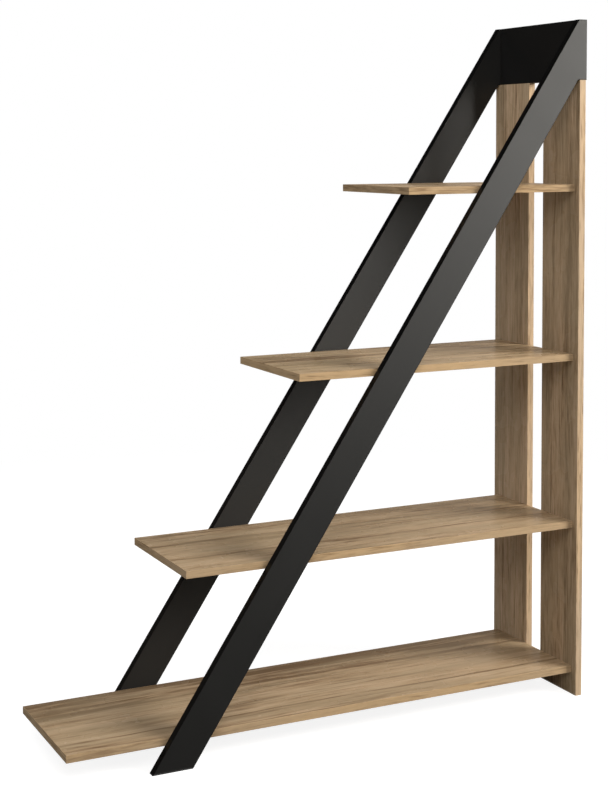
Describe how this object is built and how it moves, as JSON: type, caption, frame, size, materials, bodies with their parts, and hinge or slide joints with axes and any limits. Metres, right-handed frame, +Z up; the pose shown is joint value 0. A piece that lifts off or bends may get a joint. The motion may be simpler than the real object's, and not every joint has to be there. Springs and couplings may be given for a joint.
{
  "type": "shelving unit",
  "caption": "Triangular shelving unit: level shelves, shorter towards the top, held between slanted boards and fixed at the tall end to upright boards under a top panel.",
  "frame": {"origin": "on the floor, at the middle of the overall length and depth", "axes": "+X towards the tall end with the uprights, +Y towards the back, +Z up"},
  "size_m": [1.2212, 0.342, 1.538],
  "materials": {
    "wood_decor_board": "satin oak-decor laminate",
    "wood_decor_band": "satin oak-decor edging",
    "black_board": "satin black laminate",
    "black_band": "satin black edging",
    "zinc_cam": "die-cast zinc, dull",
    "steel_bolt": "zinc-plated",
    "beech_dowel": "bare beech",
    "brown_cap": "matt",
    "black_cap": "matt"
  },
  "bodies": {
    "root": {"shelf_1": "wood_decor_board", "shelf_1_edge_bands": "wood_decor_band", "shelf_2": "wood_decor_board", "shelf_2_edge_bands": "wood_decor_band", "shelf_3": "wood_decor_board", "shelf_3_edge_bands": "wood_decor_band", "shelf_4": "wood_decor_board", "shelf_4_edge_bands": "wood_decor_band", "front_upright": "wood_decor_board", "front_upright_edge_bands": "wood_decor_band", "rear_upright": "wood_decor_board", "rear_upright_edge_bands": "wood_decor_band", "front_slant": "black_board", "front_slant_edge_bands": "black_band", "rear_slant": "black_board", "rear_slant_edge_bands": "black_band", "top_panel": "black_board", "top_panel_edge_bands": "black_band", "shelf_1_cams": "zinc_cam", "shelf_1_bolts": "steel_bolt", "shelf_1_dowels": "beech_dowel", "shelf_1_cam_caps": "brown_cap", "shelf_2_cams": "zinc_cam", "shelf_2_bolts": "steel_bolt", "shelf_2_dowels": "beech_dowel", "shelf_2_cam_caps": "brown_cap", "shelf_3_cams": "zinc_cam", "shelf_3_bolts": "steel_bolt", "shelf_3_dowels": "beech_dowel", "shelf_3_cam_caps": "brown_cap", "shelf_4_cams": "zinc_cam", "shelf_4_bolts": "steel_bolt", "shelf_4_dowels": "beech_dowel", "shelf_4_cam_caps": "brown_cap", "top_panel_cams": "zinc_cam", "top_panel_bolts": "steel_bolt", "top_panel_dowels": "beech_dowel", "top_panel_cam_caps": "black_cap", "slant_dowels": "beech_dowel"}
  },
  "joints": []
}
